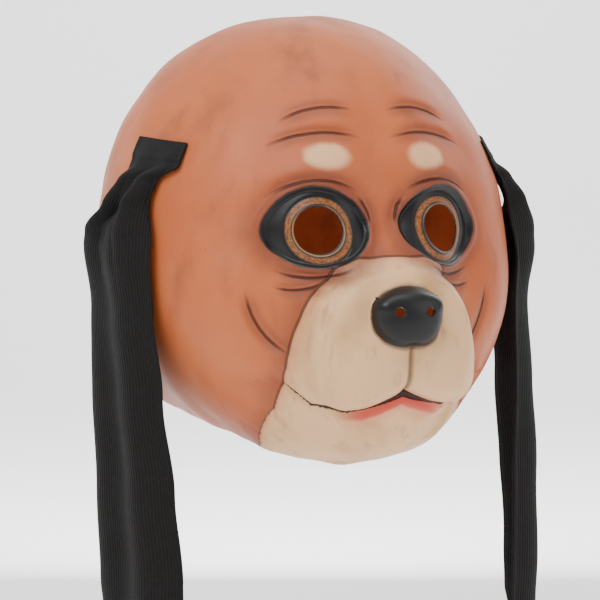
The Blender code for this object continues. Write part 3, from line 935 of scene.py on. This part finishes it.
class MASK_OT_photo_stage(bpy.types.Operator):
    """Set the pale floor and backdrop, the soft lights and the camera"""

    bl_idname = "mask.photo_stage"
    bl_label = "Photo Stage"

    AZIMUTH = math.radians(-21)
    ELEVATION = math.radians(5)
    DISTANCE = 1.6
    FRAME_WIDTH = 0.420
    AIM = Vector((-0.0065, -0.0025, -0.196))
    FLOOR_GAP = 0.05
    FLOOR_FRONT = -2.2
    FLOOR_REACH = 1.6
    COVE_RADIUS = 0.9
    COVE_HEIGHT = 3.0
    COVE_WIDTH = 7.0

    def execute(self, context):
        self.add_floor()
        self.add_camera()
        self.add_lights()
        return {"FINISHED"}

    def add_floor(self):
        """A floor that curves up into a backdrop behind the mask."""
        clear_selection()
        bpy.ops.mesh.primitive_grid_add(x_subdivisions=2, y_subdivisions=60, size=1)
        floor = context_object("studio_floor")
        flat = mesh_points(floor.data)
        share = flat[:, 1] + 0.5
        radius = self.COVE_RADIUS
        arc = radius * math.pi / 2
        level = self.FLOOR_REACH - self.FLOOR_FRONT
        run = share * (level + arc + self.COVE_HEIGHT) - level
        bend = np.clip(run, 0, arc) / radius
        deep = self.FLOOR_REACH + np.minimum(run, 0) + radius * np.sin(bend)
        up = radius * (1 - np.cos(bend)) + np.maximum(run - arc, 0)
        side = flat[:, 0] * self.COVE_WIDTH
        x = side * math.cos(self.AZIMUTH) - deep * math.sin(self.AZIMUTH)
        y = side * math.sin(self.AZIMUTH) + deep * math.cos(self.AZIMUTH)
        set_points(floor.data, np.stack([x, y, up + EAR_LOW.z - self.FLOOR_GAP], axis=1))
        make_active(floor)
        bpy.ops.object.shade_smooth()
        floor.data.materials.append(pale_floor())

    def add_camera(self):
        lens = bpy.data.cameras.new("photo_camera")
        camera = bpy.data.objects.new("photo_camera", lens)
        bpy.context.scene.collection.objects.link(camera)
        back = view_back(self.AZIMUTH, self.ELEVATION)
        camera.location = self.AIM + back * self.DISTANCE
        camera.rotation_euler = back.to_track_quat("Z", "Y").to_euler()
        lens.sensor_width = 36
        lens.lens = lens.sensor_width * self.DISTANCE / self.FRAME_WIDTH
        bpy.context.scene.camera = camera

    def add_lights(self):
        for name, azimuth, elevation, distance, size, power, turned in (
            ("key_softbox", -62, 42, 1.5, 0.9, 17, False),
            ("fill_softbox", 38, 20, 1.7, 1.2, 8, False),
            ("top_softbox", -10, 78, 1.4, 1.0, 9, False),
            ("rim_softbox", 120, 35, 1.6, 0.9, 6, False),
            ("wall_softbox_left", -150, 35, 0.7, 1.2, 24, True),
            ("wall_softbox_right", 108, 35, 0.7, 1.2, 24, True),
        ):
            light = bpy.data.lights.new(name, "AREA")
            light.shape = "SQUARE"
            light.size = size
            light.energy = power
            lamp = bpy.data.objects.new(name, light)
            bpy.context.scene.collection.objects.link(lamp)
            back = view_back(math.radians(azimuth), math.radians(elevation))
            lamp.location = self.AIM + back * distance
            if turned:
                back = view_back(self.AZIMUTH, math.radians(-5))
            lamp.rotation_euler = back.to_track_quat("Z", "Y").to_euler()
        world = bpy.data.worlds.new("studio_air")
        world.use_nodes = True
        air = world.node_tree.nodes["Background"]
        air.inputs["Color"].default_value = (1, 1, 1, 1)
        air.inputs["Strength"].default_value = 0.60
        bpy.context.scene.world = world


def view_back(azimuth, elevation):
    """From the aim towards a viewer at this azimuth and elevation."""
    level = math.cos(elevation)
    return Vector((math.sin(azimuth) * level, -math.cos(azimuth) * level, math.sin(elevation)))


class Value:
    """A shader number that adds Math nodes when it is used in an expression."""

    def __init__(self, maker, socket):
        self.maker = maker
        self.socket = socket

    def math(self, operation, *inputs):
        node = self.maker.node("ShaderNodeMath", {"operation": operation}, dict(enumerate(inputs)))
        return Value(self.maker, node.outputs[0])

    def __add__(self, other):
        return self.math("ADD", self, other)

    def __radd__(self, other):
        return self.math("ADD", other, self)

    def __sub__(self, other):
        return self.math("SUBTRACT", self, other)

    def __rsub__(self, other):
        return self.math("SUBTRACT", other, self)

    def __mul__(self, other):
        return self.math("MULTIPLY", self, other)

    def __truediv__(self, other):
        return self.math("DIVIDE", self, other)

    def __abs__(self):
        return self.math("ABSOLUTE", self)

    def sine(self):
        return self.math("SINE", self)

    def most(self, other):
        return self.math("MAXIMUM", self, other)


class Maker:
    """Makes one material's nodes."""

    def __init__(self, name):
        self.material = bpy.data.materials.new(name)
        self.material.use_nodes = True
        self.tree = self.material.node_tree
        self.shader = self.tree.nodes["Principled BSDF"]
        self.place = self.node("ShaderNodeTexCoord").outputs["Object"]

    def node(self, kind, setup=None, sockets=None):
        node = self.tree.nodes.new(kind)
        for key, value in (setup or {}).items():
            setattr(node, key, value)
        for key, value in (sockets or {}).items():
            self.feed(node.inputs[key], value)
        return node

    def feed(self, socket, value):
        if isinstance(value, Value):
            value = value.socket
        if isinstance(value, bpy.types.NodeSocket):
            self.tree.links.new(value, socket)
        elif hasattr(value, "__len__") and socket.type == "RGBA":
            socket.default_value = (*value, 1)
        else:
            socket.default_value = value

    def layer(self, name):
        """A number that the mesh keeps for each point."""
        node = self.node("ShaderNodeAttribute", {"attribute_name": name})
        return Value(self, node.outputs["Fac"])

    def noise(self, scale, detail=4.0, stretch=(1, 1, 1)):
        """Soft random mottling from 0 to 1, at about this many spots a metre."""
        mapping = self.node("ShaderNodeMapping", None, {"Vector": self.place, "Scale": stretch})
        sockets = {"Vector": mapping.outputs[0], "Scale": scale, "Detail": detail}
        sockets["Roughness"] = 0.5
        node = self.node("ShaderNodeTexNoise", None, sockets)
        return Value(self, node.outputs[0])

    def ramp(self, value, start, end, low=0.0, high=1.0):
        """Rises smoothly from low at start to high at end."""
        node = self.node(
            "ShaderNodeMapRange",
            {"interpolation_type": "SMOOTHSTEP"},
            {"Value": value, "From Min": start, "From Max": end, "To Min": low, "To Max": high},
        )
        return Value(self, node.outputs[0])

    def along(self, axis):
        """The Object coordinate on this axis, 0 to 2."""
        parts = self.node("ShaderNodeSeparateXYZ", None, {0: self.place})
        return Value(self, parts.outputs[axis])

    def wrinkle(self, wrinkle):
        """How far the face's points lie above a wrinkle, and how far from its middle they are,
        as a share of its half length."""
        side = abs(self.along(0)) - wrinkle.side
        up = self.along(2) - wrinkle.height
        run = side * math.cos(wrinkle.turn) + up * math.sin(wrinkle.turn)
        rise = up * math.cos(wrinkle.turn) - side * math.sin(wrinkle.turn)
        share = abs(run) / wrinkle.half_length
        return rise + share * share * wrinkle.sag, share

    def line(self, distance, width):
        """1 along the line where the distance is 0, and 0 beyond this width."""
        return self.ramp(abs(distance), width * 0.3, width, 1.0, 0.0)

    def dots(self, scale, radius, share):
        """Scattered round specks, in this share of the cells."""
        node = self.node("ShaderNodeTexVoronoi", None, {"Vector": self.place, "Scale": scale})
        apart = Value(self, node.outputs["Distance"])
        cell = self.node("ShaderNodeSeparateXYZ", None, {0: node.outputs["Color"]})
        kept = self.ramp(Value(self, cell.outputs[0]), share, share - 0.02)
        return self.ramp(apart, radius * scale, radius * scale * 0.5) * kept

    def mix(self, factor, first, second):
        """The first colour turning into the second as the factor goes from 0 to 1."""
        node = self.node("ShaderNodeMix", {"data_type": "RGBA"})
        self.feed(node.inputs[0], factor)
        self.feed(node.inputs[6], first)
        self.feed(node.inputs[7], second)
        return node.outputs[2]

    def bump(self, value, distance, strength=1.0, below=None):
        sockets = {"Height": value, "Distance": distance, "Strength": strength}
        if below is not None:
            sockets["Normal"] = below
        return self.node("ShaderNodeBump", None, sockets).outputs[0]

    def finish(self, sockets):
        for key, value in sockets.items():
            self.feed(self.shader.inputs[key], value)
        return self.material


def paint_latex():
    """The airbrushed outside: a tan coat, a cream muzzle, black nose and lids, brown eyes."""
    paint, eyes = settings().paint, settings().eyes
    coat_dark, wash = paint.coat_dark, paint.wash
    make = Maker("painted_latex")
    muzzle, nose = make.layer("muzzle_edge"), make.layer("nose_edge")
    mouth, mouth_end = make.layer("mouth_edge"), make.layer("mouth_end")
    lids, pupil = make.layer("lid_edge"), make.layer("pupil_range")
    pips, groove = make.layer("pip_edge"), make.layer("groove")
    cloudy, patchy = make.noise(7, 3), make.noise(30, 5, (1, 1, 0.55))
    fine, streaks = make.noise(420, 3), make.noise(95, 4, (1, 1, 0.35))
    hand = (make.noise(130, 4) - 0.5) * 0.0030
    # Patches in which the painted highlights beside the creases and on the pupils' rims show
    highlight_patches = make.ramp(patchy, 0.35, 0.65)

    coat = make.mix(make.ramp(cloudy, 0.35, 0.70), paint.coat, paint.coat_pale_and_highlight)
    smudge = make.ramp(cloudy * 0.5 + patchy * 0.5, 0.50, 0.70, 0.0, 0.55)
    coat = make.mix(smudge, coat, coat_dark)
    coat = make.mix(make.ramp(streaks * patchy, 0.30, 0.50, 0.0, 0.35), coat, coat_dark)
    coat = make.mix(make.ramp(muzzle, 0.020, 0.001, 0.0, 0.45), coat, coat_dark)
    stain = make.ramp(patchy, 0.42, 0.72, 0.0, 0.8)
    cream = make.mix(stain, paint.cream, paint.cream_dark)
    cream = make.mix(make.ramp(muzzle, -0.011, -0.001, 0.0, 0.35), cream, paint.blush)
    cream = make.mix(make.ramp(streaks, 0.56, 0.74, 0.0, 0.30), cream, coat_dark)

    on_muzzle = make.ramp(muzzle + hand, 0.0010, -0.0010)
    on_pips = make.ramp(pips + hand * 120, 0.40, -0.20, 0.0, 0.85)
    skin = make.mix(on_muzzle, make.mix(on_pips, coat, paint.cream), cream)

    gap_high = make.ramp(mouth_end, 0.0, 0.42, 0.0019, 0.0004)
    near_middle = make.ramp(mouth_end, 0.62, 0.34)
    below = make.ramp(mouth, 0.0000, 0.0022) * make.ramp(mouth + hand, 0.0082, 0.0056)
    spray = make.ramp(abs(mouth - 0.004), 0.0150, 0.0040, 0.0, 0.55) * near_middle
    skin = make.mix(spray, skin, paint.blush)
    skin = make.mix(below * near_middle * 0.92, skin, paint.lip)

    halo = make.ramp(nose + hand * 2, 0.0085, -0.0005, 0.0, 0.75)
    skin = make.mix(halo, skin, wash)
    shade = make.ramp(lids + hand * 2, 0.0200, 0.0015, 0.0, 0.75)
    skin = make.mix(shade, skin, coat_dark)

    in_front = make.ramp(make.along(1), -0.060, -0.080)
    dark_line, crease_shade, crease_highlight = 0.0, 0.0, 0.0
    for wrinkle in WRINKLES:
        above, share = make.wrinkle(wrinkle)
        ends = make.ramp(share, 1.0, 0.45) * in_front
        dark_line = (make.line(above + hand * 0.2, 0.0012) * ends).most(dark_line)
        # Painted shade: a soft dark band along each wrinkle's groove
        crease_shade = (make.line(above, 0.0080) * ends * 0.5).most(crease_shade)
        # Painted highlight: a pale line just above each wrinkle, on its ridge
        crease_highlight = (make.line(above - 0.0021, 0.0010) * ends).most(crease_highlight)
    crease_highlight = crease_highlight * highlight_patches * 0.6
    edge_line = make.line(muzzle + hand * 0.1, 0.0012)
    # Painted highlight: a pale line beside the muzzle's engraved edge, in patches
    edge_highlight = make.line(muzzle + 0.0021, 0.0009) * highlight_patches * 0.8
    mouth_line = make.ramp(abs(mouth) - gap_high, 0.0009, 0.0001) * make.ramp(mouth_end, 0.99, 0.93)
    middle_line = make.ramp(groove, 0.55, 0.95) * on_muzzle
    # Paints the soft shade along the wrinkles
    skin = make.mix(crease_shade, skin, coat_dark)
    # Paints the highlight lines over the skin
    skin = make.mix((crease_highlight.most(edge_highlight)) * 0.5, skin, paint.coat_pale_and_highlight)
    skin = make.mix(dark_line.most(edge_line * 0.75) * 0.85, skin, wash)
    skin = make.mix(mouth_line.most(middle_line * 0.7), skin, wash)
    skin = make.mix(make.dots(75, 0.00055, 0.22) * 0.7, skin, wash)

    on_nose = make.ramp(nose + hand * 0.5, 0.0008, -0.0008)
    on_lids = make.ramp(lids + hand * 0.5, 0.0030, 0.0018)
    wet = on_nose.most(on_lids)
    skin = make.mix(wet, skin, paint.black)
    eyeball = make.ramp(lids, 0.0000, -0.0010)
    inside = make.ramp(pupil, eyes.pupil + 0.0018, eyes.pupil + 0.0030)
    ring = make.ramp(pupil + hand * 0.15, eyes.iris, eyes.iris - 0.0016) * inside
    brown = make.mix(make.ramp(make.noise(700, 2), 0.3, 0.7, 0.0, 0.7), paint.iris, wash)
    skin = make.mix(eyeball * ring, skin, brown)
    # Painted highlight: a pale thin ring on the raised rim of each pupil's hole, in patches
    pupil_rim_highlight = make.line(pupil - eyes.pupil - 0.0012, 0.0007) * highlight_patches * 0.5
    skin = make.mix(pupil_rim_highlight * eyeball, skin, paint.cream_dark)

    rough = 0.47 + (patchy - 0.5) * 0.18 - wet * 0.10 + dark_line * 0.10
    depth = dark_line * 0.8 + edge_line * 0.6 + mouth_line
    carved = make.bump(1.0 - depth, 0.0011, 0.9)
    rolls = make.bump(make.noise(150, 3), 0.00040, 0.35, carved)
    pores = make.bump(fine, 0.00012, 0.35, rolls)
    return make.finish(
        {
            "Base Color": skin,
            "Roughness": rough,
            "Coat Weight": wet * 0.08,
            "Coat Roughness": 0.30,
            "Specular IOR Level": 0.28,
            "Subsurface Weight": 0.05,
            "Subsurface Scale": 0.003,
            "Normal": pores,
        }
    )


def raw_latex():
    """The unpainted red-orange inside, with thicker and thinner runs."""
    paint = settings().paint
    make = Maker("raw_latex")
    runs = make.noise(28, 5, (1, 1, 0.3))
    deep = tuple(shade * 0.55 for shade in paint.raw)
    shade = make.mix(make.ramp(runs, 0.35, 0.7), paint.raw, deep)
    drips = make.bump(runs, 0.0012, 0.4, make.bump(make.noise(500, 3), 0.0002, 0.3))
    return make.finish({"Base Color": shade, "Roughness": 0.62 + (runs - 0.5) * 0.2, "Normal": drips})


def ribbed_cloth():
    """Black knit with fine ribs down the strip."""
    paint = settings().paint
    ears = settings().ears
    make = Maker("ribbed_cloth")
    uv = make.node("ShaderNodeUVMap", {"uv_map": "UVMap"}).outputs[0]
    parts = make.node("ShaderNodeSeparateXYZ", None, {0: uv})
    across, down = Value(make, parts.outputs[0]), Value(make, parts.outputs[1])
    ribs = (across * (2 * math.pi * ears.width / 0.0016)).sine()
    loops = (down * (2 * math.pi * ears.length / 0.0011)).sine()
    knit = ribs * 0.5 + loops * 0.22 + 0.5
    lint = make.ramp(make.noise(700, 2), 0.70, 0.78, 0.0, 0.35)
    # Painted highlight: the crests of the ribs and loops are painted lighter than the cloth
    rib_highlight = tuple(shade * 2.4 for shade in paint.cloth)
    base = make.mix(make.ramp(knit, 0.2, 1.0, 0.0, 0.8), paint.cloth, rib_highlight)
    base = make.mix(lint, base, (0.022, 0.019, 0.018))
    weave = make.bump(knit, 0.00045, 0.8, make.bump(make.noise(1500, 2), 0.0002, 0.4))
    return make.finish(
        {
            "Base Color": base,
            "Roughness": 0.86 + (make.noise(60, 3) - 0.5) * 0.12,
            "Specular IOR Level": 0.22,
            "Sheen Weight": 0.03,
            "Sheen Roughness": 0.5,
            "Normal": weave,
        }
    )


def pale_floor():
    make = Maker("pale_floor")
    shade = make.mix(make.noise(3, 2), (0.92, 0.92, 0.92), (0.95, 0.95, 0.95))
    return make.finish(
        {
            "Base Color": shade,
            "Roughness": 0.7,
            "Emission Color": (1, 1, 1),
            "Emission Strength": 0.45,
        }
    )


class MASK_PT_builder(bpy.types.Panel):
    """Lists the mask's operators in the sidebar"""

    bl_idname = "MASK_PT_builder"
    bl_label = "Dog Mask"
    bl_space_type = "VIEW_3D"
    bl_region_type = "UI"
    bl_category = "Dog Mask"

    def draw(self, context):
        layout = self.layout
        for operator in OPERATORS:
            layout.operator(operator.bl_idname)
        for group in (context.scene.dog_mask.shell, context.scene.dog_mask.eyes):
            for name in group.bl_rna.properties.keys():
                if name not in ("rna_type", "name"):
                    layout.prop(group, name)


OPERATORS = (MASK_OT_latex_head, MASK_OT_cloth_ears, MASK_OT_photo_stage)
CLASSES = (
    ShellSizes,
    EyeSizes,
    NoseSizes,
    EarSizes,
    PaintColours,
    MaskSettings,
    *OPERATORS,
    MASK_PT_builder,
)


def register():
    for item in CLASSES:
        bpy.utils.register_class(item)
    bpy.types.Scene.dog_mask = PointerProperty(type=MaskSettings)


def unregister():
    del bpy.types.Scene.dog_mask
    for item in reversed(CLASSES):
        bpy.utils.unregister_class(item)


def main():
    register()
    bpy.ops.mask.latex_head()
    bpy.ops.mask.cloth_ears()
    bpy.ops.mask.photo_stage()


if __name__ == "__main__":
    main()
